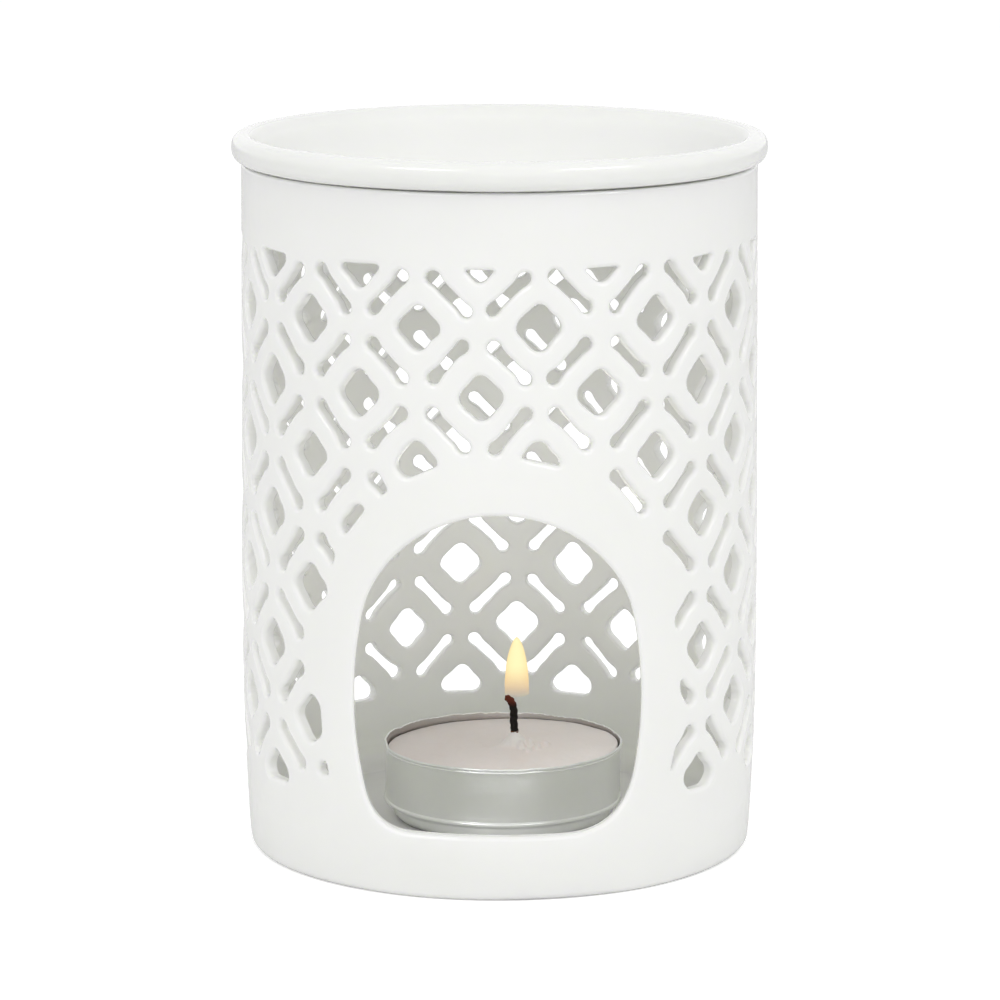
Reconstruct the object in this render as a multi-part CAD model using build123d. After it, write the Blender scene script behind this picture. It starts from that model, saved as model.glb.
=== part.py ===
from build123d import *
import math
import os

# Essential oil burner: a pierced porcelain cup, a loose oil dish that lies on it and a tealight inside.
# Millimetres, +Z up. The origin is the centre of the foot, on the surface that the burner stands on.
# The tealight window faces -Y. Angles run round the cup from that side, positive towards +X.

# How far every cut runs past the face that it leaves
overrun = 2.0

# Porcelain body
body_height = 108.4
top_radius = 40.25
belly_bulge = 0.55
belly_height = 36.0
foot_draw_in = 0.55
body_wall = 2.1
foot_round = 1.2
mouth_round = 0.5
floor_height = 3.2
floor_round = 4.0
foot_ring_width = 3.2
foot_recess_depth = 0.9
foot_recess_draft = 0.6

# Pierced lattice: staggered rows of blunt diamonds, with a waisted slot between each two neighbours
lattice_columns = 13
lattice_turn = -4.07
top_band = 11.4
foot_band = 14.3
first_row_rise = 1.5
row_step = 10.32
diamond_half_width = 3.4
diamond_half_height = 3.6
diamond_point = 2.5
slot_length = 8.8
slot_end_width = 1.8
slot_waist = 1.3
smallest_hole_share = 0.2

# Arched tealight window and the plain band round it
window_sill = 10.6
window_foot_half = 18.5
window_hip_rise = 20.4
window_hip_half = 21.8
window_side_rise = 34.4
window_spring_half = 20.25
window_crown_rise = 14.9
window_corner_left = 4.5
window_corner_right = 7.5
band_side = 6.2
band_crown = 8.9

# Oil dish
rim_overhang = 1.5
rim_height = 4.6
rim_bulge_height = 2.75
rim_crest_inset = 2.0
rim_shoulder_inset = 4.15
rim_shoulder_drop = 1.1
dish_throat_wall = 2.0
dish_throat_drop = 4.0
dish_depth = 18.2
dish_wall = 2.4
bowl_flat_radius = 8.3
seat_setback = 0.35
spigot_clearance = 0.55
spigot_height = 0.7

# Tealight: aluminium cup, wax, wick holder and wick
tealight_x = 0.5
tealight_y = 1.0
cup_radius = 19.0
cup_height = 12.0
cup_foil = 0.3
cup_taper = 0.15
cup_base_inset = 1.6
cup_base_height = 2.0
cup_base_round = 0.8
cup_step_height = 1.0
cup_bead_radius = 0.4
wax_drop = 1.0
wax_gap = 0.05
mound_height = 2.4
mound_base_radius = 2.2
mound_top_radius = 1.0
wick_offset_x = 1.9
wick_offset_y = -1.5
wick_radius = 0.65
wick_stand = 8.2
wick_curl_reach = 1.9
wick_curl_height = 2.4
holder_radius = 6.5
holder_sheet = 0.3
neck_wall = 0.35
neck_height = 3.5

body_bore = top_radius - body_wall
belly_radius = top_radius + belly_bulge
foot_radius = top_radius - foot_draw_in
lattice_ceiling = body_height - top_band
window_spring_height = window_sill + window_side_rise


def turned(outline):
    """Solid turned about Z from the edges of a closed half outline in X and Z."""
    return revolve(Plane.XZ * make_face(outline), Axis.Z)


def softened(face, corner, radius):
    """The face with the corner nearest to a point rounded off."""
    nearest = face.vertices().sort_by_distance(Vector(*corner))[0]
    return fillet(nearest, radius)


def body_shell():
    """Cup with its belly, foot ring, inside floor and open mouth, still without any opening in its wall."""
    outside = make_face(Polyline(
        (0, 0),
        (foot_radius, 0),
        (belly_radius, belly_height),
        (top_radius, body_height),
        (0, body_height),
        close=True,
    ))
    outside = softened(outside, (foot_radius, 0), foot_round)
    outside = softened(outside, (top_radius, body_height), mouth_round)

    bore_foot = (foot_radius - body_wall, floor_height)
    inside = make_face(Polyline(
        (0, floor_height),
        bore_foot,
        (belly_radius - body_wall, belly_height),
        (body_bore, body_height),
        (body_bore, body_height + overrun),
        (0, body_height + overrun),
        close=True,
    ))
    inside = softened(inside, bore_foot, floor_round)

    ring_inside = foot_radius - foot_ring_width
    recess = make_face(Polyline(
        (0, -overrun),
        (ring_inside, -overrun),
        (ring_inside, 0),
        (ring_inside - foot_recess_draft, foot_recess_depth),
        (0, foot_recess_depth),
        close=True,
    ))
    solids = [revolve(Plane.XZ * face, Axis.Z) for face in (outside, inside, recess)]
    return solids[0] - solids[1] - solids[2]


def front_prism(face):
    """Straight prism through the front half of the wall."""
    return extrude(Plane.XZ * face, amount=belly_radius + overrun)


def arch_face(crown, growth):
    """Face under a crown curve, between the window's slightly bowed sides moved out by a growth."""
    foot = window_foot_half + growth
    hip = window_hip_half + growth
    hip_height = window_sill + window_hip_rise
    right = ThreePointArc(crown @ 0, (hip, hip_height), (foot, window_sill))
    left = ThreePointArc(crown @ 1, (-hip, hip_height), (-foot, window_sill))
    return make_face([crown, right, left, Line((-foot, window_sill), (foot, window_sill))])


def window_cutter():
    """Arched tealight window with its two lower corners rounded."""
    half = window_spring_half
    top = (0, window_spring_height + window_crown_rise)
    crown = ThreePointArc((half, window_spring_height), top, (-half, window_spring_height))
    face = arch_face(crown, 0)
    face = softened(face, (-window_foot_half, window_sill), window_corner_left)
    face = softened(face, (window_foot_half, window_sill), window_corner_right)
    return front_prism(face)


def band_prism():
    """The window together with the plain band round it, where the lattice has no holes."""
    half = window_spring_half + band_side
    rise = window_crown_rise + band_crown
    crown = EllipticalCenterArc((0, window_spring_height), half, rise, arc_size=180)
    return front_prism(arch_face(crown, band_side))


def diamond_face():
    """Diamond whose four points are cut blunt."""
    half_point = diamond_point / 2
    right = (diamond_half_width, half_point)
    top = (half_point, diamond_half_height)
    quarter = [right, top]
    half = quarter + [(-x, y) for x, y in reversed(quarter)]
    return make_face(Polyline(*half, *[(-x, -y) for x, y in half], close=True))


def slot_face(tilt):
    """Slot that narrows from both ends towards its waist."""
    half_length = slot_length / 2
    half_end = slot_end_width / 2
    half = [(half_length, half_end), (0, slot_waist / 2), (-half_length, half_end)]
    return make_face(Polyline(*half, *[(-x, -y) for x, y in half], close=True)).rotate(Axis.Z, tilt)


def trimmed(face, height):
    """The face of a hole at this height, cut off at the top and bottom edges of the lattice."""
    reach = slot_length / 2
    if foot_band < height - reach and height + reach < lattice_ceiling:
        return face
    middle = (lattice_ceiling + foot_band) / 2 - height
    return face & Pos(0, middle) * Rectangle(2 * reach, lattice_ceiling - foot_band)


def wall_radius(height):
    """Outer radius of the tapered wall at this height."""
    if height < belly_height:
        return foot_radius + (belly_radius - foot_radius) * height / belly_height
    return top_radius + (belly_radius - top_radius) * (body_height - height) / (body_height - belly_height)


def radial_prism(face, height):
    """Prism through the wall where it faces -Y, from the face of a hole at this height."""
    wall_middle = Plane.XZ.offset(wall_radius(height) - body_wall / 2)
    prism = extrude(wall_middle * trimmed(face, height), amount=body_wall / 2 + overrun, both=True)
    return Pos(0, 0, height) * prism


def hole_rows():
    """Yield each row's prism where it faces -Y, with the turn of its first hole."""
    column_angle = 360 / lattice_columns
    half_column = math.pi * belly_radius / lattice_columns
    tilt = math.degrees(math.atan2(row_step, half_column))
    first_height = lattice_ceiling + first_row_rise
    rows = math.ceil((first_height - foot_band) / row_step)
    for row in range(rows):
        height = first_height - row * row_step
        first_turn = lattice_turn + (row % 2) * column_angle / 2
        yield radial_prism(diamond_face(), height), first_turn
        if row < rows - 1:
            for side in (-1, 1):
                slot = radial_prism(slot_face(side * tilt), height - row_step / 2)
                yield slot, first_turn + side * column_angle / 4


def lattice_cutters():
    """Every hole of the lattice, cut off at the plain band round the window."""
    band = band_prism()
    reach = band.bounding_box().max + Vector(slot_length, 0, slot_length)
    cutters = []
    for prism, first_turn in hole_rows():
        for column in range(lattice_columns):
            hole = Rot(0, 0, first_turn + column * 360 / lattice_columns) * prism
            middle = hole.center()
            if middle.Y < 0 and abs(middle.X) < reach.X and middle.Z < reach.Z:
                hole = hole - band
            if hole.volume > smallest_hole_share * prism.volume:
                cutters.extend(hole.solids())
    return cutters


def burner_body():
    return body_shell().cut(window_cutter(), *lattice_cutters())


def oil_dish():
    """Dish with a rolled rim that overhangs the body, a seat on the body's mouth and a shallow bowl."""
    seat = body_height
    crest = seat + rim_height
    bowl_inside = crest - dish_depth
    bowl_under = bowl_inside - dish_wall
    rim_radius = top_radius + rim_overhang
    spigot_radius = body_bore - spigot_clearance
    spigot_foot = (spigot_radius, seat - spigot_height)
    seat_edge = (top_radius - seat_setback, seat)
    bulge = (rim_radius, seat + rim_bulge_height)
    crest_point = (rim_radius - rim_crest_inset, crest)
    shoulder = (rim_radius - rim_shoulder_inset, crest - rim_shoulder_drop)
    throat = (spigot_radius - dish_throat_wall, crest - dish_throat_drop)
    return turned([
        Line((0, bowl_under), (bowl_flat_radius, bowl_under)),
        TangentArc((bowl_flat_radius, bowl_under), spigot_foot, tangent=(1, 0)),
        Line(spigot_foot, (spigot_radius, seat)),
        Line((spigot_radius, seat), seat_edge),
        TangentArc(bulge, seat_edge, tangent=(0, -1)),
        TangentArc(bulge, crest_point, tangent=(0, 1)),
        TangentArc(crest_point, shoulder, tangent=(-1, 0)),
        Line(shoulder, throat),
        TangentArc((bowl_flat_radius, bowl_inside), throat, tangent=(1, 0)),
        Line((bowl_flat_radius, bowl_inside), (0, bowl_inside)),
        Line((0, bowl_inside), (0, bowl_under)),
    ])


def cup_outline(inset, top):
    """Half outline of the tealight cup's outside, drawn in by an inset and cut off at a height."""
    base = cup_radius - cup_base_inset - inset
    side_foot = cup_radius - cup_taper - inset
    step = cup_base_height + cup_step_height
    face = make_face(Polyline(
        (0, inset),
        (base, inset),
        (base, cup_base_height),
        (side_foot, step),
        (cup_radius - inset, top),
        (0, top),
        close=True,
    ))
    return softened(face, (base, inset), cup_base_round - inset)


def tealight_cup():
    """Thin cup with a narrower stacking base and a rolled bead at its rim."""
    bead_height = cup_height - cup_bead_radius
    outside = revolve(Plane.XZ * cup_outline(0, bead_height), Axis.Z)
    inside = revolve(Plane.XZ * cup_outline(cup_foil, bead_height), Axis.Z)
    bead = revolve(Plane.XZ * Pos(cup_radius, bead_height) * Circle(cup_bead_radius), Axis.Z)
    return outside - inside + bead


def wick_place():
    return Pos(wick_offset_x, wick_offset_y, cup_foil)


def wick_holder():
    """Sheet disc on the cup's floor with a crimped neck round the foot of the wick."""
    bore = wick_radius
    neck = wick_radius + neck_wall
    return wick_place() * turned(Polyline(
        (bore, 0),
        (holder_radius, 0),
        (holder_radius, holder_sheet),
        (neck, holder_sheet),
        (neck, neck_height),
        (bore, neck_height),
        close=True,
    ))


def wick():
    """Burnt wick that stands out of the wax and curls over to one side."""
    wax_top = cup_height - wax_drop - cup_foil
    straight_top = wax_top + wick_stand - wick_curl_height
    tip = (-wick_curl_reach, straight_top + wick_curl_height)
    stem = Line((0, 0), (0, straight_top))
    curl = TangentArc((0, straight_top), tip, tangent=(0, 1))
    path = Plane.XZ * (stem + curl)
    return wick_place() * sweep(Circle(wick_radius), path=path)


def tealight_wax():
    """Wax fill with a small mound that it has drawn up round the wick."""
    wax_top = cup_height - wax_drop
    fill = revolve(Plane.XZ * cup_outline(cup_foil + wax_gap, wax_top), Axis.Z)
    mound_foot = wax_top - cup_foil
    mound = wick_place() * turned(Polyline(
        (0, mound_foot),
        (mound_base_radius, mound_foot),
        (mound_top_radius, mound_foot + mound_height),
        (0, mound_foot + mound_height),
        close=True,
    ))
    return fill + mound - wick_holder() - wick()


def main():
    tealight_place = Pos(tealight_x, tealight_y, floor_height)
    parts = {
        "burner_body": burner_body(),
        "oil_dish": oil_dish(),
        "tealight_cup": tealight_place * tealight_cup(),
        "tealight_wax": tealight_place * tealight_wax(),
        "wick_sustainer": tealight_place * wick_holder(),
        "wick": tealight_place * wick(),
    }
    os.makedirs("parts", exist_ok=True)
    for name, shape in parts.items():
        export_step(shape, f"parts/{name}.step")


main()
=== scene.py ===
import math
import random

import bpy
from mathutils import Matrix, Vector, kdtree, noise
from mathutils.geometry import delaunay_2d_cdt


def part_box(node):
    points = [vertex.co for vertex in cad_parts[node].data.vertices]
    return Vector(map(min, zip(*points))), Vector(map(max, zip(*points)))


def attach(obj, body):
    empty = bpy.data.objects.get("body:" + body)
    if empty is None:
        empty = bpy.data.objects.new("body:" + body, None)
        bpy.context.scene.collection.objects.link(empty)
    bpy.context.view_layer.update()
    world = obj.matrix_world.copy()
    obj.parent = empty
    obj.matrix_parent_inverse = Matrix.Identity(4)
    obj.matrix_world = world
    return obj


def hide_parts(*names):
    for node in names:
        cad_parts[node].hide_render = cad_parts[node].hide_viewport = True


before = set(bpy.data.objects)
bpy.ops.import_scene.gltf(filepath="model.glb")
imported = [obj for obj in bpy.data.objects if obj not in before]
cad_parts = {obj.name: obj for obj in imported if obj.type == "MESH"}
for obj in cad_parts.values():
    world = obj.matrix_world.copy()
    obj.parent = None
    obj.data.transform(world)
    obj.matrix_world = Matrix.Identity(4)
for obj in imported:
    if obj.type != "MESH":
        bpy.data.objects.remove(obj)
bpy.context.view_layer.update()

# Looks of a pierced porcelain oil burner. Sizes are in millimetres and become metres in Surface.piece.
# The axes are those of the CAD: +Z up, the tealight window towards -Y, angles from there towards +X.
mm = 0.001
chance = random.Random(4)


def node_box(name):
    """Lowest and highest corner of a CAD node in millimetres."""
    return [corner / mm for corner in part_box(name)]


body_high = node_box("burner_body")[1]
dish_low, dish_high = node_box("oil_dish")
cup_low, cup_high = node_box("tealight_cup")
wick_high = node_box("wick")[1]

# Porcelain body
body_height = body_high.z
belly_radius = body_high.x
belly_height = 36.0
belly_bulge = 0.55
foot_draw_in = 1.1
top_radius = belly_radius - belly_bulge
foot_radius = belly_radius - foot_draw_in
wall = 2.1
foot_round = 1.2
mouth_round = 0.55
floor_height = cup_low.z
floor_round = 4.0
foot_ring_width = 3.2
foot_recess = 0.9
body_sway = 0.09
wall_segments = 240

# Part of the wall that is meshed round its holes, above the floor's fillet and below the plain top band
pierced_low = 8.2
pierced_high = 101.0
land_spacing = 2.6
land_clearance = 0.9

# Pierced lattice
lattice_columns = 13
lattice_turn = math.radians(-4.07)
lattice_high = body_height - 11.4
lattice_low = 14.3
first_row_height = lattice_high + 1.5
row_step = 10.32
lattice_rows = 9
diamond_mean = 3.12
diamond_lobe = 0.36
diamond_wobble = 0.28
diamond_stretch = 1.03
slot_half_length = 4.5
slot_end_radius = 1.12
slot_half_waist = 0.76
slot_wobble = 0.22
outline_spacing = 0.52
smallest_share = 0.12
outer_edge_round = 0.8
inner_edge_round = 0.35
outer_edge_degrees = (0, 28, 58, 90)
inner_edge_degrees = (90, 45, 0)
# Hand trimming of each hole: how far its size, its tilt in degrees and its place may be off
trim_size = 0.04
trim_tilt = 2.5
trim_angle = 0.004
trim_height = 0.12
# Hand-made spacing: how far columns stand from their even place, in degrees, by their angle
column_drift = ((-180, -0.4), (-60, 0), (-4, 0), (10, -1.5), (50, -1.4), (120, -0.8), (180, -0.4))
row_tilt = 0.4
row_sag = 0.15
# How far the cut-off diamonds of the top row hang below their even place, column by column from the front
top_row_drops = (-0.2, 0.3, 0.3, 0.5, -0.1, 0.4, 0.2, 0.0, 0.6, 0.1, 0.4, 1.3, 1.4)

# Tealight window and the plain band round it
sill = 10.25
window_shift = -0.3
window_foot_half = 18.5
window_hip_half = 21.8
window_hip_height = 31.0
window_spring_half = 20.25
window_spring_height = 45.0
window_crown = 59.9
corner_reach_left = 5.2
corner_reach_right = 7.8
window_spacing = 0.9
window_edge_round = 0.8
band_side = 6.2
band_crown = 8.9

# Dish
rim_radius = dish_high.x
crest_height = dish_high.z
bowl_depth = 18.2
spigot_clearance = 0.55
dish_sway = 0.1
dish_segments = 256

# Tealight
cup_centre = (cup_low + cup_high) / 2
cup_radius = 19.0
cup_top = cup_high.z
foil = 0.3
cup_segments = 360
wax_gap = 0.12
wax_segments = 240
wax_rows = 80
wick_foot_x = 2.4
wick_foot_y = -0.5
# Crumbs of wax beside the wick: place from the cup's centre, and height
wax_crumbs = ((3.0, -3.9, 0.7), (4.3, -2.7, 0.9), (5.6, -4.2, 0.75), (6.9, -1.6, 0.5), (3.9, -6.0, 0.45))

# Flame
flame_height = 9.8
flame_half = 1.95
flame_foot_share = 0.05
flame_behind_wick = 2.2
flame_beside_wick = 0.35

# Light, in metres and watts: the world's share for lighting rays, and what the floor adds for the camera
world_light = 0.74
floor_glow = 0.35
lamp_aim = Vector((0, 0, 0.055))
lamps = {
    "left_softbox": ((-0.49, -0.657, 0.726), (0.44, 0.09), 1.7),
    "right_softbox": ((0.595, -0.557, 0.726), (0.44, 0.09), 1.7),
    "front_fill": ((0.22, -1.13, 0.32), (0.6, 0.5), 0.25),
}
glow_power = 0.0062
glow_radius = 0.015
glow_colour = (1.0, 0.97, 0.92)
glow_place = (0.004, 0, 0.05)

# Camera that was fitted to the photograph: place in metres, pitch in degrees, lens in millimetres
camera_place = (0.00007, -0.72341, 0.19623)
camera_pitch = -11.085
camera_lens = 167.8
sensor_width = 36.0


class Surface:
    """Points with their normals, and the faces between them. Points that coincide are joined."""

    def __init__(self):
        self.index = {}
        self.points = []
        self.normals = []
        self.faces = []

    def point(self, place, normal):
        key = tuple(round(value, 4) for value in place)
        if key not in self.index:
            self.index[key] = len(self.points)
            self.points.append(Vector(place))
            self.normals.append(Vector(normal).normalized())
        return self.index[key]

    def face(self, *corners):
        """Adds a face, turned to the side that its points' normals show."""
        corners = list(dict.fromkeys(corners))
        if len(corners) < 3:
            return
        first, second, third = (self.points[corner] for corner in corners[:3])
        side = (second - first).cross(third - first)
        if side.dot(sum((self.normals[corner] for corner in corners), Vector())) < 0:
            corners.reverse()
        self.faces.append(corners)

    def strip(self, ring, other, closed=True):
        """Faces between two rows of as many points."""
        for step in range(len(ring) if closed else len(ring) - 1):
            after = (step + 1) % len(ring)
            self.face(ring[step], ring[after], other[after], other[step])

    def piece(self, name, material, body, sway=0.0):
        """The finished object, in metres, with an uneven form of this much sway."""
        mesh = bpy.data.meshes.new(name)
        places = [
            (point + normal * sway * unevenness(point)) * mm
            for point, normal in zip(self.points, self.normals)
        ]
        mesh.from_pydata(places, [], self.faces)
        mesh.polygons.foreach_set("use_smooth", [True] * len(mesh.polygons))
        mesh.normals_split_custom_set_from_vertices(self.normals)
        mesh.materials.append(material)
        thing = bpy.data.objects.new(name, mesh)
        bpy.context.scene.collection.objects.link(thing)
        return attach(thing, body)


def unevenness(point):
    """Slow change of form of hand-finished porcelain, from -1 to 1."""
    return noise.noise(point / 21.0) + 0.3 * noise.noise(point / 8.0)


def wall_radius(height):
    """Outer radius of the body's wall: a slight taper above the belly and a soft curve below it."""
    if height > belly_height:
        above, whole = height - belly_height, body_height - belly_height
        return belly_radius + (top_radius - belly_radius) * above / whole
    return belly_radius - (belly_radius - foot_radius) * (1 - height / belly_height) ** 2


def wall_point(angle, height, depth):
    """Place at an angle and height, this deep in the wall."""
    radius = wall_radius(height) - depth
    return Vector((radius * math.sin(angle), -radius * math.cos(angle), height))


def radial(angle):
    """Unit direction away from the axis."""
    return Vector((math.sin(angle), -math.cos(angle), 0))


def arc(centre, radius, start, end, steps):
    """Points on an arc, with its angles in degrees."""
    points = []
    for step in range(steps + 1):
        angle = math.radians(start + (end - start) * step / steps)
        points.append((centre[0] + radius * math.cos(angle), centre[1] + radius * math.sin(angle)))
    return points


def curve(start, control, end, steps):
    """Points on a quadratic curve that leaves its start and reaches its end towards the control point."""
    points = []
    for step in range(steps + 1):
        share = step / steps
        blend = [(1 - share) ** 2, 2 * share * (1 - share), share ** 2]
        points.append(tuple(
            sum(weight * corner[axis] for weight, corner in zip(blend, (start, control, end)))
            for axis in (0, 1)
        ))
    return points


def arc_through(start, middle, end, steps):
    """Points on the circle through three points."""
    a, b, c = (Vector(point) for point in (start, middle, end))
    u, v = b - a, c - a
    scale = 2 * (u.x * v.y - u.y * v.x)
    centre = a + Vector((
        v.y * u.length_squared - u.y * v.length_squared,
        u.x * v.length_squared - v.x * u.length_squared,
    )) / scale
    first, second, third = (
        math.degrees(math.atan2(point.y - centre.y, point.x - centre.x)) for point in (a, b, c)
    )
    second += 360 * round((first - second) / 360)
    third += 360 * round((second - third) / 360)
    return arc(centre, (a - centre).length, first, third, steps)


def turn(surface, profile, segments, centre=(0, 0), shape=None):
    """Turns a profile of radius and height, with the material on its left, about a vertical axis."""
    rings = []
    for step, (radius, height) in enumerate(profile):
        before = profile[max(step - 1, 0)]
        after = profile[min(step + 1, len(profile) - 1)]
        out, up = after[1] - before[1], before[0] - after[0]
        ring = []
        for segment in range(segments):
            angle = -math.pi + 2 * math.pi * segment / segments
            grown, raised = shape(angle, radius, height) if shape else (radius, height)
            side = radial(angle)
            place = Vector((centre[0] + side.x * grown, centre[1] + side.y * grown, raised))
            ring.append(surface.point(place, side * out + Vector((0, 0, up))))
        rings.append(ring)
    for ring, other in zip(rings, rings[1:]):
        surface.strip(ring, other)
    return rings


def clipped(outline, keep):
    """The part of a closed outline where keep is positive, closed straight across."""
    kept = []
    for step, here in enumerate(outline):
        last = outline[step - 1]
        value, last_value = keep(*here), keep(*last)
        if (value > 0) != (last_value > 0):
            share = last_value / (last_value - value)
            kept.append((last[0] + share * (here[0] - last[0]), last[1] + share * (here[1] - last[1])))
        if value > 0:
            kept.append(here)
    return kept


def area(outline):
    """Area of a closed outline, positive if it runs anticlockwise."""
    before = outline[-1:] + outline[:-1]
    return sum(last_x * y - x * last_y for (last_x, last_y), (x, y) in zip(before, outline)) / 2


def evened(outline, spacing, passes):
    """The closed outline, anticlockwise, with evenly spaced points and corners eased in passes."""
    if area(outline) < 0:
        outline = outline[::-1]
    lengths = [math.dist(outline[step - 1], here) for step, here in enumerate(outline)]
    count = max(round(sum(lengths) / spacing), 8)
    stride = sum(lengths) / count
    points, due = [], 0.0
    for step, here in enumerate(outline):
        last = outline[step - 1]
        while due < lengths[step]:
            share = due / lengths[step]
            points.append((last[0] + share * (here[0] - last[0]), last[1] + share * (here[1] - last[1])))
            due += stride
        due -= lengths[step]
    for _ in range(passes):
        eased = []
        for step, here in enumerate(points):
            before, after = points[step - 1], points[(step + 1) % len(points)]
            eased.append(tuple((before[axis] + 2 * here[axis] + after[axis]) / 4 for axis in (0, 1)))
        points = eased
    return points


def outward(outline):
    """Unit directions that point away from a closed anticlockwise outline."""
    directions = []
    for step in range(len(outline)):
        before, after = outline[step - 1], outline[(step + 1) % len(outline)]
        directions.append(Vector((after[1] - before[1], before[0] - after[0])).normalized())
    return directions


def diamond_outline():
    """Diamond with a soft lobe at each of its four points, each one cut a little differently."""
    points = []
    seed = chance.uniform(0, 90)
    for degrees in range(0, 360, 5):
        angle = math.radians(degrees)
        x, y = math.cos(angle), math.sin(angle)
        reach = diamond_mean + diamond_lobe * math.cos(4 * angle)
        reach += diamond_wobble * noise.noise(Vector((x * 1.6, y * 1.6, seed)))
        points.append((reach * x, diamond_stretch * reach * y))
    return points


def slot_outline(tilt):
    """Slot with a round bulb at each end of a narrower bar, each one cut a little differently."""
    end_centre = slot_half_length - slot_end_radius
    seed = chance.uniform(0, 90)
    whole = []
    for degrees in range(0, 360, 4):
        angle = math.radians(degrees)
        x = slot_half_length * math.cos(angle)
        past = abs(x) - end_centre
        bulb = math.sqrt(max(slot_end_radius ** 2 - past ** 2, 0))
        half = bulb if past > 0 else max(bulb, slot_half_waist)
        half *= 1 + slot_wobble * noise.noise(Vector((x / 2, math.copysign(1, math.sin(angle)), seed)))
        whole.append((x, math.copysign(half, math.sin(angle))))
    cos, sin = math.cos(tilt), math.sin(tilt)
    return [(x * cos - y * sin, x * sin + y * cos) for x, y in whole]


def outside_band(x, height):
    """Positive where the wall lies outside the plain band round the window, seen from the front."""
    if height > window_spring_height:
        across = x / (window_spring_half + band_side)
        up = (height - window_spring_height) / (window_crown + band_crown - window_spring_height)
        return across ** 2 + up ** 2 - 1
    bow = (height - window_hip_height) / (window_spring_height - window_hip_height)
    return abs(x) - (window_hip_half + band_side - (window_hip_half - window_spring_half) * bow ** 2)


def hole(outline, angle, height):
    """One hole as (outline, angle, height), cut off at the lattice's edges; None if little is left."""
    whole = abs(area(outline))
    outline = clipped(outline, lambda x, y: lattice_high - height - y)
    outline = clipped(outline, lambda x, y: height + y - lattice_low)
    if math.cos(angle) > 0:
        def keep(x, y):
            side = angle + math.asin(x / belly_radius)
            return outside_band(belly_radius * math.sin(side), height + y)
        outline = clipped(outline, keep)
    if abs(area(outline)) < smallest_share * whole:
        return None
    outline = evened(outline, outline_spacing, 2)
    size = chance.uniform(1 - trim_size, 1 + trim_size)
    tilt = math.radians(chance.uniform(-trim_tilt, trim_tilt))
    cos, sin = size * math.cos(tilt), size * math.sin(tilt)
    outline = [(x * cos - y * sin, x * sin + y * cos) for x, y in outline]
    angle += chance.uniform(-trim_angle, trim_angle)
    return outline, angle, height + chance.uniform(-trim_height, trim_height)


def drift(angle):
    """How far a column at this angle stands from its even place."""
    degrees = math.degrees(angle)
    for (start, low), (end, high) in zip(column_drift, column_drift[1:]):
        if degrees <= end:
            return math.radians(low + (high - low) * (degrees - start) / (end - start))


def lattice_holes():
    """Every hole of the pierced lattice."""
    column = 2 * math.pi / lattice_columns
    tilt = math.atan2(row_step, column * belly_radius / 2)

    def placed(outline, angle, height):
        angle = math.remainder(angle, 2 * math.pi)
        height += row_tilt * math.sin(angle) - row_sag * (1 - math.cos(angle))
        return hole(outline, angle + drift(angle), height)

    for row in range(lattice_rows):
        height = first_row_height - row * row_step
        for number in range(lattice_columns):
            angle = lattice_turn + (number + row % 2 / 2) * column
            drop = top_row_drops[number] if row == 0 else 0
            yield placed(diamond_outline(), angle, height - drop)
            if row < lattice_rows - 1:
                for side in (-1, 1):
                    slot_angle, slot_height = angle + side * column / 4, height - row_step / 2
                    yield placed(slot_outline(side * tilt), slot_angle, slot_height)


def window_outline():
    """Arched window with its two lower corners rounded by hand."""
    left_foot, right_foot = (-window_foot_half, sill), (window_foot_half, sill)
    left_spring = (-window_spring_half, window_spring_height)
    right_spring = (window_spring_half, window_spring_height)
    crown = arc_through(right_spring, (0, window_crown), left_spring, 60)
    left = arc_through(left_spring, (-window_hip_half, window_hip_height), left_foot, 60)
    right = arc_through(right_foot, (window_hip_half, window_hip_height), right_spring, 60)
    left = [point for point in left if math.dist(point, left_foot) > corner_reach_left]
    right = [point for point in right if math.dist(point, right_foot) > corner_reach_right]
    left_corner = curve(left[-1], left_foot, (corner_reach_left - window_foot_half, sill), 16)
    right_corner = curve((window_foot_half - corner_reach_right, sill), right_foot, right[0], 16)
    whole = crown + left + left_corner + right_corner + right
    return evened([(x + window_shift, height) for x, height in whole], window_spacing, 3)


def edge_rings(outer_round):
    """Rows through the wall as (growth, depth, face-on share, way), from its outer to its inner face."""
    rows = []
    for degrees in outer_edge_degrees:
        angle = math.radians(degrees)
        growth, depth = outer_round * (1 - math.sin(angle)), outer_round * (1 - math.cos(angle))
        rows.append((growth, depth, math.cos(angle), 1))
    for degrees in inner_edge_degrees:
        angle = math.radians(degrees)
        growth, left = inner_edge_round * (1 - math.sin(angle)), inner_edge_round * (1 - math.cos(angle))
        rows.append((growth, wall - left, math.cos(angle), -1))
    return rows


def pierce(surface, outline, angle, height, rows):
    """Adds a hole's sides. Returns its outlines on the wall's outer and inner face."""
    directions = outward(outline)
    across = Vector((math.cos(angle), math.sin(angle), 0))
    rings, places = [], []
    for growth, depth, face_on, way in rows:
        ring, chart = [], []
        for (x, y), direction in zip(outline, directions):
            level = height + y + growth * direction.y
            side = angle + math.asin((x + growth * direction.x) / (wall_radius(level) - depth))
            sideways = across * direction.x + Vector((0, 0, direction.y))
            normal = radial(side) * face_on * way - sideways * math.sqrt(max(1 - face_on ** 2, 0))
            ring.append(surface.point(wall_point(side, level, depth), normal))
            chart.append((side, level))
        rings.append(ring)
        places.append(chart)
    for ring, other in zip(rings, rings[1:]):
        surface.strip(ring, other)
    return places[0], places[-1]


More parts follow.
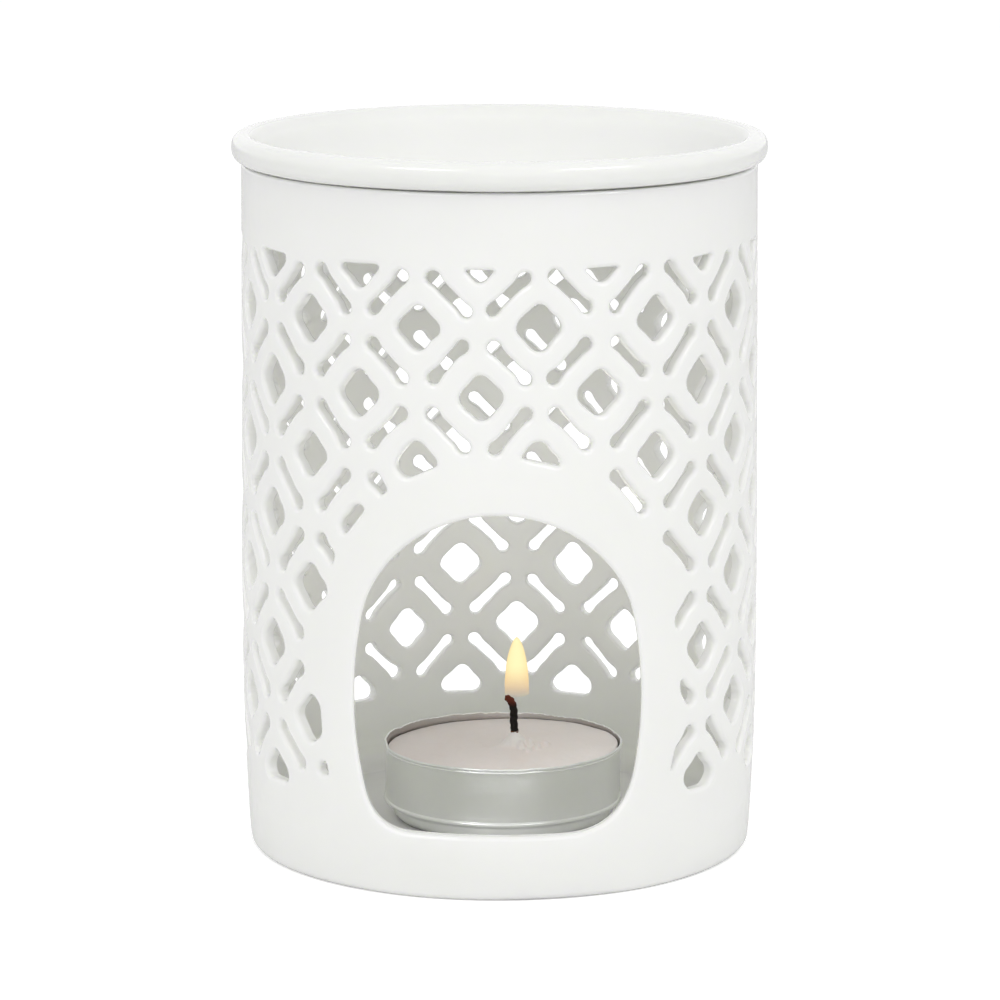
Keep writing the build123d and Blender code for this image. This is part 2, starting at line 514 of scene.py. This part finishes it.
def land(surface, outlines, depth, way):
    """Fills one face of the wall between the outlines of its holes."""
    full = 2 * math.pi
    rows = round((pierced_high - pierced_low) / land_spacing)
    levels = [pierced_low + (pierced_high - pierced_low) * row / rows for row in range(rows + 1)]
    angles = [-math.pi + full * step / wall_segments for step in range(wall_segments + 1)]
    places = [(angle, pierced_low) for angle in angles] + [(math.pi, level) for level in levels[1:-1]]
    places += [(angle, pierced_high) for angle in reversed(angles)]
    places += [(-math.pi, level) for level in reversed(levels[1:-1])]
    edges = [(step, (step + 1) % len(places)) for step in range(len(places))]
    holes = []
    for outline in outlines:
        for shift in (-full, 0, full):
            if any(abs(angle + shift) < math.pi for angle, level in outline):
                holes.append(range(len(places), len(places) + len(outline)))
                places.extend((angle + shift, level) for angle, level in outline)
    tree = kdtree.KDTree(len(places))
    for number, (angle, level) in enumerate(places):
        tree.insert((angle * belly_radius, level, 0), number)
    tree.balance()
    columns = round(full * belly_radius / land_spacing)
    for row, level in enumerate(levels[1:-1]):
        for column in range(columns):
            angle = -math.pi + full * (column + (row % 2) / 2 + 0.25) / columns
            if tree.find((angle * belly_radius, level, 0))[2] > land_clearance:
                places.append((angle, level))
    chart = [Vector((angle * belly_radius, level)) for angle, level in places]
    found, _, triangles, sources, _, within = delaunay_2d_cdt(chart, edges, holes, 0, 1e-5)
    for triangle, hole_faces in zip(triangles, within):
        middle = sum(found[corner].x for corner in triangle) / 3
        if hole_faces or abs(middle) > math.pi * belly_radius:
            continue
        corners = []
        for corner in triangle:
            angle, level = found[corner].x / belly_radius, found[corner].y
            if sources[corner]:
                angle, level = places[sources[corner][0]]
            corners.append(surface.point(wall_point(angle, level, depth), radial(angle) * way))
        surface.face(*corners)


def porcelain_body(material):
    """Cup with its pierced wall, its window, its rounded mouth, its floor and its foot ring."""
    surface = Surface()
    rows = edge_rings(outer_edge_round)
    outer, inner = [], []
    for found in lattice_holes():
        if found:
            places = pierce(surface, *found, rows)
            outer.append(places[0])
            inner.append(places[1])
    places = pierce(surface, window_outline(), 0, 0, edge_rings(window_edge_round))
    land(surface, outer + [places[0]], 0, 1)
    land(surface, inner + [places[1]], wall, -1)

    top = body_height - mouth_round
    mouth = [(wall_radius(height), height) for height in (pierced_high, pierced_high + 4)]
    mouth += arc((top_radius - mouth_round, top), mouth_round, 0, 90, 6)
    mouth += arc((top_radius - wall + mouth_round, top), mouth_round, 90, 180, 6)
    mouth += [(wall_radius(pierced_high) - wall, pierced_high)]
    turn(surface, mouth, wall_segments)

    inside = [(wall_radius(pierced_low) - wall, pierced_low)]
    corner = (wall_radius(floor_height) - wall - floor_round, floor_height + floor_round)
    inside += arc(corner, floor_round, 0, -90, 10)
    inside += [(radius, floor_height) for radius in (30, 22, 14, 6, 0)]
    turn(surface, inside, wall_segments)

    ring_inside = foot_radius - foot_ring_width
    under = [(0, foot_recess), (18, foot_recess), (ring_inside - 1.2, foot_recess)]
    recess_edge = (ring_inside, foot_recess)
    under += curve((ring_inside - 0.8, foot_recess), recess_edge, (ring_inside + 0.2, 0.3), 4)
    under += curve((ring_inside + 0.25, 0.2), (ring_inside + 0.3, 0), (ring_inside + 0.6, 0), 3)
    under += arc((foot_radius - foot_round, foot_round), foot_round, -90, 0, 8)
    under += [(wall_radius(height), height) for height in (2.6, 4.2, 6.0, pierced_low)]
    turn(surface, under, wall_segments)
    return surface.piece("pierced_body", material, "body", sway=body_sway)


def porcelain_dish(material):
    """Dish with a rolled rim, a seat that stands on the body's mouth and a shallow bowl."""
    seat, crest, rim = body_height, crest_height, rim_radius
    spigot = top_radius - wall - spigot_clearance
    bowl_inside = crest - bowl_depth
    bowl_under = dish_low.z
    # Underside and spigot
    profile = curve((0, bowl_under), (22, bowl_under), (31, 98.6), 16)
    profile += curve((31.2, 98.9), (36.4, 103.4), (spigot - 0.1, seat - 0.9), 10)
    profile += curve((spigot, seat - 0.6), (spigot, seat), (spigot + 0.35, seat), 3)
    # Seat, then the rolled rim from below to its crest
    profile += [(top_radius - 1.3, seat), (top_radius - 0.9, seat + 0.05)]
    profile += curve((top_radius - 0.35, seat + 0.2), (rim, seat + 0.5), (rim, seat + 2.5), 10)
    profile += curve((rim, seat + 2.7), (rim - 0.05, crest), (rim - 2.1, crest), 12)
    profile += curve((rim - 2.3, crest - 0.01), (38.5, crest - 0.3), (37.2, crest - 1.8), 12)
    # Bowl
    profile += curve((37.0, crest - 2.1), (30.4, bowl_inside + 1.6), (9, bowl_inside), 34)
    profile += [(5, bowl_inside - 0.02), (0, bowl_inside - 0.02)]
    surface = Surface()
    turn(surface, profile, dish_segments)
    return surface.piece("porcelain_dish", material, "dish", sway=dish_sway)


def cup_crumple(angle, radius, height):
    """Dents of the thin foil wall: strongest at its rim, with one pressed place."""
    if radius < cup_radius - 3:
        return radius, height
    share = min(max((height - cup_low.z - 3) / (cup_top - cup_low.z - 3), 0), 1)
    side = Vector((math.cos(angle), math.sin(angle), 0))
    dents = noise.noise(side * 5 + Vector((0, 0, height / 14))) * 0.12 + noise.noise(side * 14) * 0.04
    off_press = math.remainder(angle + math.radians(84), 2 * math.pi)
    press = 0.35 * math.exp(-(off_press / 0.16) ** 2)
    crinkle = (noise.noise(side * 30) * 0.08 + noise.noise(side * 57) * 0.05) * share ** 8
    sideways = (dents - press * share) * (0.3 + 0.7 * share)
    return radius + sideways + crinkle, height + dents * 1.3 * share ** 6 + crinkle


def tealight_cup(material):
    """Foil cup with a stacking base, a step, a bead under its rim and a rolled rim."""
    base = cup_low.z
    inner = cup_radius - foil
    # Base and step
    profile = [(0, base), (9, base), (15.6, base)]
    profile += arc((16.4, base + 1.0), 1.0, -90, 0, 6)
    profile += curve((17.45, base + 1.6), (17.5, base + 2.2), (18.1, base + 2.3), 5)
    profile += arc((18.62, base + 2.85), 0.36, -110, 80, 10)
    # Wall, bead and rolled rim
    profile += curve((18.72, base + 3.3), (18.7, base + 3.6), (18.78, base + 4.2), 4)
    profile += [(18.8, base + height) for height in (5.2, 6.2, 7.2, 8.2, 9.2, 10.2, 11.0)]
    profile += arc((cup_radius - 0.16, cup_top - 0.72), 0.17, -75, 75, 8)
    profile += arc((cup_radius - 0.05, cup_top - 0.21), 0.19, -60, 180, 14)
    # Inside
    profile += [(inner - 0.02, cup_top - drop) for drop in (0.6, 0.9, 1.3, 2.0, 4.0, 8.0)]
    profile += [(17.0, base + 2.6), (16.8, base + foil), (0, base + foil)]
    surface = Surface()
    turn(surface, profile, cup_segments, cup_centre, cup_crumple)
    return surface.piece("foil_cup", material, "tealight")


def wax_level(x, y):
    """Height of the wax, with its slope, its ripples, the mound at the wick and crumbs beside it."""
    angle = math.atan2(x, -y)
    lean = 0.3 + 0.45 * math.cos(angle + math.radians(125))
    height = cup_top - lean - 0.45
    height += 0.12 * noise.noise(Vector((x, y, 0)) / 6.0)
    height += 0.03 * noise.noise(Vector((x, y, 5)))
    away = math.hypot(x + cup_centre.x - wick_foot_x, y + cup_centre.y - wick_foot_y)
    mound = 2.9 * math.exp(-(away / 1.35) ** 1.35)
    height += mound * (1 + 0.12 * noise.noise(Vector((x, y, 9)) * 1.7))
    for crumb_x, crumb_y, size in wax_crumbs:
        crumb = math.hypot(x - crumb_x, (y - crumb_y) / 1.6) / 0.62
        height += size * math.exp(-crumb ** 3) * (1 + 0.5 * noise.noise(Vector((x, y, 3)) * 2.5))
    return height


def wax_normal(x, y, height):
    """Normal of the wax where its height is known."""
    step = 0.05
    across = (height - wax_level(x + step, y)) / step
    along = (height - wax_level(x, y + step)) / step
    return Vector((across, along, 1))


def wax_fill(material):
    """Wax as a disc with an uneven edge, down to the cup's floor."""
    surface = Surface()
    edge = cup_radius - foil - wax_gap
    rings = []
    for row in range(wax_rows + 1):
        at_edge = row == wax_rows
        ring = []
        for segment in range(wax_segments):
            angle = 2 * math.pi * segment / wax_segments
            side = radial(angle)
            reach = edge * row / wax_rows
            if at_edge:
                ragged = 0.5 + 0.5 * math.cos(angle - math.radians(215))
                bites = max(noise.noise(side * 11), 0)
                reach -= 0.18 * (1 + noise.noise(side * 7)) + 1.5 * ragged * bites
            x, y = side.x * reach, side.y * reach
            height = wax_level(x, y)
            normal = wax_normal(x, y, height)
            if at_edge:
                height -= 0.25
                normal += side * 1.2
            ring.append(surface.point((cup_centre.x + x, cup_centre.y + y, height), normal))
        rings.append(ring)
    for ring, other in zip(rings, rings[1:]):
        surface.strip(ring, other)
    foot = []
    foot_reach, foot_height = edge - 1.6, cup_low.z + foil + 0.1
    for segment in range(wax_segments):
        side = radial(2 * math.pi * segment / wax_segments)
        place = (cup_centre.x + side.x * foot_reach, cup_centre.y + side.y * foot_reach, foot_height)
        foot.append(surface.point(place, side - Vector((0, 0, 1))))
    surface.strip(rings[-1], foot)
    surface.faces.append(foot[::-1])
    return surface.piece("wax_fill", material, "tealight")


def tube(surface, path, radius_at, sides, twist=0.0):
    """Skins a path with rings whose radius is radius_at(share, side angle)."""
    rings = []
    for step, place in enumerate(path):
        before, after = path[max(step - 1, 0)], path[min(step + 1, len(path) - 1)]
        along = (after - before).normalized()
        across = along.cross(Vector((0, 1, 0))).normalized()
        upward = along.cross(across)
        share = step / (len(path) - 1)
        ring = []
        for side in range(sides):
            angle = 2 * math.pi * side / sides
            way = across * math.cos(angle) + upward * math.sin(angle)
            ring.append(surface.point(place + way * radius_at(share, angle + twist * step), way))
        rings.append(ring)
    for ring, other in zip(rings, rings[1:]):
        surface.strip(ring, other)
    surface.faces.append(rings[0][::-1])
    surface.faces.append(rings[-1])


def smoothed(stem, steps):
    """A smooth path through the points of a stem, with this many steps between each two."""
    path = []
    for before, start, end, after in zip([stem[0]] + stem, stem, stem[1:], stem[2:] + [stem[-1]]):
        for step in range(steps):
            share = step / steps
            path.append((
                start * 2
                + (end - before) * share
                + (before * 2 - start * 5 + end * 4 - after) * share ** 2
                + (start * 3 - before - end * 3 + after) * share ** 3
            ) / 2)
    return path + [stem[-1]]


def wick_path():
    """Burnt wick: up out of the wax with a slight bend, then over to the left at its tip."""
    top = wick_high.z
    bends = (
        (0, cup_low.z + foil), (0, 15.6), (0, 17.2), (0.15, 18.7), (0.12, 20.2), (0.38, 21.5),
        (0.95, top - 0.7), (1.55, top - 0.55),
    )
    return smoothed([Vector((wick_foot_x - left, wick_foot_y, height)) for left, height in bends], 8)


def burnt_wick(material):
    """Braided wick, thinner at its tip, as three strands that twist round each other."""
    def strand(share, angle):
        taper = 1 - 0.35 * max(share - 0.8, 0) / 0.2
        fray = 0.05 * noise.noise(Vector((share * 40, angle, 0)))
        return 0.6 * taper * (1 + 0.1 * math.cos(3 * angle)) + fray

    surface = Surface()
    tube(surface, wick_path(), strand, 24, twist=0.35)
    return surface.piece("burnt_wick", material, "tealight")


def flame(material):
    """Still flame, broad from its foot to its middle and rounded at the tip, just behind the wick."""
    foot = wick_high.z - 0.9
    profile = [(0, foot)]
    for step in range(1, 40):
        share = step / 40
        opening = min(share / flame_foot_share, 1) ** 0.5
        closing = (1 - (max(share - flame_foot_share, 0) / (1 - flame_foot_share)) ** 2.4) ** 0.65
        profile.append((flame_half * opening * closing, foot + flame_height * share))
    profile.append((0, foot + flame_height))

    def flicker(angle, radius, level):
        """Slightly uneven sides."""
        side = Vector((math.sin(angle), math.cos(angle), level / 3))
        return radius * (1 + 0.07 * noise.noise(side)), level

    surface = Surface()
    centre = (wick_foot_x + flame_beside_wick, wick_foot_y + flame_behind_wick)
    turn(surface, profile, 48, centre, flicker)
    return surface.piece("flame", material, "tealight")


def wire(node, *values, **named):
    """Fills a node's inputs, in their order or by name, with values or other nodes' outputs."""
    pairs = list(zip(node.inputs, values))
    pairs += [(node.inputs[key.replace("_", " ")], value) for key, value in named.items()]
    for socket, value in pairs:
        if isinstance(value, bpy.types.NodeSocket):
            node.id_data.links.new(value, socket)
        else:
            socket.default_value = value
    return node


def adder(tree):
    """A function that adds a node of a given type to the tree and fills its inputs."""
    def add(kind, *values, operation=None, **named):
        node = tree.nodes.new("ShaderNode" + kind)
        if operation:
            node.operation = operation
        return wire(node, *values, **named)
    return add


def new_material(name):
    """A material with its shader and a function that adds a node."""
    material = bpy.data.materials.new(name)
    material.use_nodes = True
    return material, material.node_tree.nodes["Principled BSDF"], adder(material.node_tree)


def object_place(add):
    """Place in the object's own coordinates, in metres."""
    return add("TexCoord").outputs["Object"]


def object_height(add):
    """Height in the object's own coordinates, in metres."""
    return add("SeparateXYZ", Vector=object_place(add)).outputs["Z"]


def grain(add, scale, detail=4.0, stretch=None):
    """Noise over the object's own coordinates, as a factor from 0 to 1."""
    place = object_place(add)
    if stretch:
        place = add("Mapping", Vector=place, Scale=stretch).outputs["Vector"]
    return add("TexNoise", Vector=place, Scale=scale, Detail=detail).outputs[0]


def ramp(add, value, start, end, low=0.0, high=1.0):
    """Moves a value's range from start to end to the range from low to high."""
    return add(
        "MapRange", Value=value, From_Min=start, From_Max=end, To_Min=low, To_Max=high
    ).outputs["Result"]


def spread(add, factor, low, high):
    """Moves a factor from 0 to 1 to a range of values."""
    return ramp(add, factor, 0.0, 1.0, low, high)


def two_tone(add, factor, first, second):
    """A mix of two colours, each given as red, green and blue or as another node's output."""
    node = add("Mix")
    node.data_type = "RGBA"
    wire(node, factor)
    for socket, colour in ((node.inputs[6], first), (node.inputs[7], second)):
        if isinstance(colour, tuple):
            socket.default_value = (*colour, 1)
        else:
            node.id_data.links.new(colour, socket)
    return node.outputs[2]


def bump(add, strength, distance, height, **under):
    """A bumped normal, over another one where Normal gives it."""
    return add("Bump", Strength=strength, Distance=distance, Height=height, **under).outputs[0]


def glaze(name, deep, pale):
    """White glaze: a slightly uneven colour, gloss and orange-peel surface."""
    material, shader, add = new_material(name)
    colour = two_tone(add, grain(add, 60), deep, pale)
    peel = bump(add, 0.06, 0.0004, grain(add, 420, 2))
    wire(
        shader,
        Base_Color=colour,
        Roughness=spread(add, grain(add, 140), 0.16, 0.3),
        Normal=bump(add, 0.12, 0.002, grain(add, 55, 1), Normal=peel),
        Coat_Weight=0.5,
        Coat_Roughness=0.05,
        Subsurface_Weight=1.0,
        Subsurface_Radius=(0.97, 1.0, 0.9),
        Subsurface_Scale=0.002,
    )
    return material, shader, add, colour


def glazed_porcelain():
    """The body's glaze."""
    return glaze("glazed_porcelain", (0.875, 0.88, 0.858), (0.915, 0.92, 0.898))[0]


def dish_glaze():
    """The same glaze, with the gloss worn off the bowl, where the oil is wiped out; its colour is painted
    darker than the body's as painted shade, most of all on the rim.
    """
    # Painted shade: the dish's colours are a little darker than the body's glaze, to offset the brighter
    # light on its upper surfaces.
    material, shader, add, colour = glaze("dish_glaze", (0.85, 0.855, 0.835), (0.89, 0.895, 0.875))
    flat = add("VectorMath", object_place(add), (1, 1, 0), operation="MULTIPLY").outputs[0]
    radius = add("VectorMath", flat, operation="LENGTH").outputs["Value"]
    bowl, rim = 37.2 * mm, 39.2 * mm
    # Painted shade on the rim: its colour is made up to 3.5 % darker than the bowl's.
    painted_rim_shade = ramp(add, radius, 36.5 * mm, 39.5 * mm, 1.0, 0.965)
    wire(
        shader,
        Base_Color=add("VectorMath", colour, operation="SCALE", Scale=painted_rim_shade).outputs[0],
        Coat_Weight=ramp(add, radius, bowl, rim, 0.0, 0.8),
        Roughness=ramp(add, radius, bowl, rim, 0.7, 0.2),
    )
    return material


def foil_metal():
    """Thin drawn aluminium with fine lines round the cup and small crinkles, with painted shade darkening
    its inner face.
    """
    material, shader, add = new_material("foil_metal")
    bare = two_tone(add, grain(add, 60, 1), (0.82, 0.83, 0.815), (0.87, 0.88, 0.865))
    place = add("TexCoord").outputs
    axis = (cup_centre.x * mm, cup_centre.y * mm, 0)
    from_axis = add("VectorMath", place["Object"], axis, operation="SUBTRACT").outputs[0]
    outward = add("VectorMath", from_axis, place["Normal"], operation="DOT_PRODUCT").outputs["Value"]
    # Painted shade: the inner face of the cup gets a dark grey-brown colour in place of the bare foil's.
    inside = ramp(add, outward, -3 * mm, -12 * mm)
    lines = bump(add, 0.04, 0.0003, grain(add, 60, 3, (1, 1, 30)))
    wire(
        shader,
        Base_Color=two_tone(add, inside, bare, (0.46, 0.43, 0.41)),
        Metallic=1.0,
        Roughness=spread(add, grain(add, 70, 1), 0.28, 0.38),
        Normal=bump(add, 0.1, 0.001, grain(add, 330, 2), Normal=lines),
    )
    return material


def paraffin_wax():
    """Blotched pinkish wax with painted light, brighter to the right and darker at its left, and a paler
    mound at the wick.
    """
    material, shader, add = new_material("paraffin_wax")
    across = add("SeparateXYZ", Vector=object_place(add)).outputs["X"]
    # Painted light: the wax's colour grows paler from its left to its right, as where more light falls on
    # it.
    side = spread(add, ramp(add, across, -13 * mm, 13 * mm), -0.05, 0.65)
    blotch_and_painted_light = add("Math", grain(add, 120), 0.4, side, operation="MULTIPLY_ADD").outputs[0]
    pool_and_painted_light = two_tone(add, blotch_and_painted_light, (0.82, 0.755, 0.725), (0.96, 0.895, 0.87))
    mound_top = (wick_foot_x * mm, wick_foot_y * mm, (cup_top + 1) * mm)
    away = add("VectorMath", object_place(add), mound_top, operation="DISTANCE").outputs["Value"]
    mound = ramp(add, away, 3.2 * mm, 1.4 * mm)
    wire(
        shader,
        Base_Color=two_tone(add, mound, pool_and_painted_light, (0.93, 0.90, 0.87)),
        Roughness=spread(add, grain(add, 300), 0.38, 0.6),
        Normal=bump(add, 0.3, 0.0006, grain(add, 500, 4)),
        Subsurface_Weight=0.25,
        Subsurface_Radius=(1.0, 0.7, 0.5),
        Subsurface_Scale=0.0015,
    )
    return material


def charred_cotton():
    """Black braid with a red-brown tip and an orange-brown foot where the wax soaks it."""
    material, shader, add = new_material("charred_cotton")
    height = object_height(add)
    tip = ramp(add, height, (wick_high.z - 1.9) * mm, (wick_high.z - 0.9) * mm)
    foot = ramp(add, height, 17.2 * mm, 16.6 * mm)
    black = two_tone(add, grain(add, 900), (0.005, 0.004, 0.003), (0.018, 0.013, 0.010))
    charred = two_tone(add, tip, black, (0.12, 0.025, 0.012))
    wire(
        shader,
        Base_Color=two_tone(add, foot, charred, (0.42, 0.13, 0.03)),
        Roughness=spread(add, grain(add, 700), 0.6, 0.9),
        Normal=bump(add, 0.7, 0.0004, grain(add, 1600, 3)),
        Specular_IOR_Level=0.2,
    )
    return material


def flame_light():
    """Glowing gas: orange at its foot and edge, pale yellow within, clearer at its edge and its foot."""
    material, _, add = new_material("flame_light")
    height = object_height(add)
    edge = add("LayerWeight", Blend=0.35).outputs["Facing"]
    rise = ramp(add, height, (wick_high.z - 1.3) * mm, (wick_high.z + 4.5) * mm)
    core = two_tone(add, rise, (0.98, 0.55, 0.27), (1.0, 0.93, 0.52))
    glow = add("Emission", Color=two_tone(add, edge, core, (0.98, 0.66, 0.30)), Strength=1.05)
    veil = ramp(add, edge, 0.5, 1.0, 0.05, 1.0)
    fade = ramp(add, height, (wick_high.z - 0.9) * mm, (wick_high.z + 3.8) * mm, 1.0, 0.0)
    clearness = add("Math", veil, fade, operation="MAXIMUM").outputs[0]
    thin = add("MixShader", clearness, glow.outputs[0], add("BsdfTransparent").outputs[0])
    wire(material.node_tree.nodes["Material Output"], Surface=thin.outputs[0])
    return material


def floor_paper():
    """White floor that keeps the object's shadow and is topped up to white for the camera."""
    material, shader, add = new_material("floor_paper")
    seen = add("LightPath").outputs["Is Camera Ray"]
    wire(
        shader,
        Base_Color=(0.9, 0.9, 0.9, 1),
        Roughness=1.0,
        Specular_IOR_Level=0.0,
        Emission_Strength=spread(add, seen, 0.0, floor_glow),
        Emission_Color=(1, 1, 1, 1),
    )
    return material


def paper_floor():
    """Floor that the object stands on."""
    mesh = bpy.data.meshes.new("floor")
    reach = 6.0
    corners = [(-reach, -reach, 0), (reach, -reach, 0), (reach, reach, 0), (-reach, reach, 0)]
    mesh.from_pydata(corners, [], [(0, 1, 2, 3)])
    mesh.materials.append(floor_paper())
    floor = bpy.data.objects.new("floor", mesh)
    bpy.context.scene.collection.objects.link(floor)


def white_surroundings():
    """World that is white where it is seen or mirrored and dimmer where it only lights."""
    world = bpy.data.worlds.new("studio")
    bpy.context.scene.world = world
    world.use_nodes = True
    add = adder(world.node_tree)
    rays = add("LightPath").outputs
    direct = add("Math", rays["Is Camera Ray"], rays["Is Transmission Ray"], operation="MAXIMUM")
    shown = add("Math", direct.outputs[0], rays["Is Glossy Ray"], operation="MAXIMUM")
    strength = spread(add, shown.outputs[0], world_light, 1.0)
    wire(world.node_tree.nodes["Background"], Color=(1, 1, 1, 1), Strength=strength)


def lighting():
    """Soft lamps, and the warm glow of the candle inside the body."""
    for name, (place, size, power) in lamps.items():
        light = bpy.data.lights.new(name, "AREA")
        light.shape = "RECTANGLE"
        light.size, light.size_y = size
        light.energy = power
        lamp = bpy.data.objects.new(name, light)
        lamp.location = place
        lamp.rotation_euler = (lamp_aim - Vector(place)).to_track_quat("-Z", "Y").to_euler()
        bpy.context.scene.collection.objects.link(lamp)

    glow = bpy.data.lights.new("candle_glow", "POINT")
    glow.energy = glow_power
    glow.shadow_soft_size = glow_radius
    glow.color = glow_colour
    candle = bpy.data.objects.new("candle_glow", glow)
    candle.location = glow_place
    candle.visible_camera = False
    bpy.context.scene.collection.objects.link(candle)


def camera():
    """The photograph's viewpoint: in front, a little above the rim, through a long lens."""
    lens = bpy.data.cameras.new("camera")
    lens.sensor_width = sensor_width
    lens.lens = camera_lens
    lens.clip_start = 0.05
    eye = bpy.data.objects.new("camera", lens)
    eye.location = camera_place
    eye.rotation_euler = (math.radians(90 + camera_pitch), 0, 0)
    bpy.context.scene.collection.objects.link(eye)
    bpy.context.scene.camera = eye


def main():
    """Builds each piece in the place of its CAD node, then the stage."""
    body = porcelain_body(glazed_porcelain())
    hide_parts("burner_body")
    dish = porcelain_dish(dish_glaze())
    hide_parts("oil_dish")
    cup = tealight_cup(foil_metal())
    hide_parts("tealight_cup")
    wax = wax_fill(paraffin_wax())
    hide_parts("tealight_wax")
    thread = burnt_wick(charred_cotton())
    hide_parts("wick")
    flame(flame_light())
    paper_floor()
    white_surroundings()
    lighting()
    camera()
    bpy.context.scene.view_settings.view_transform = "Standard"


main()
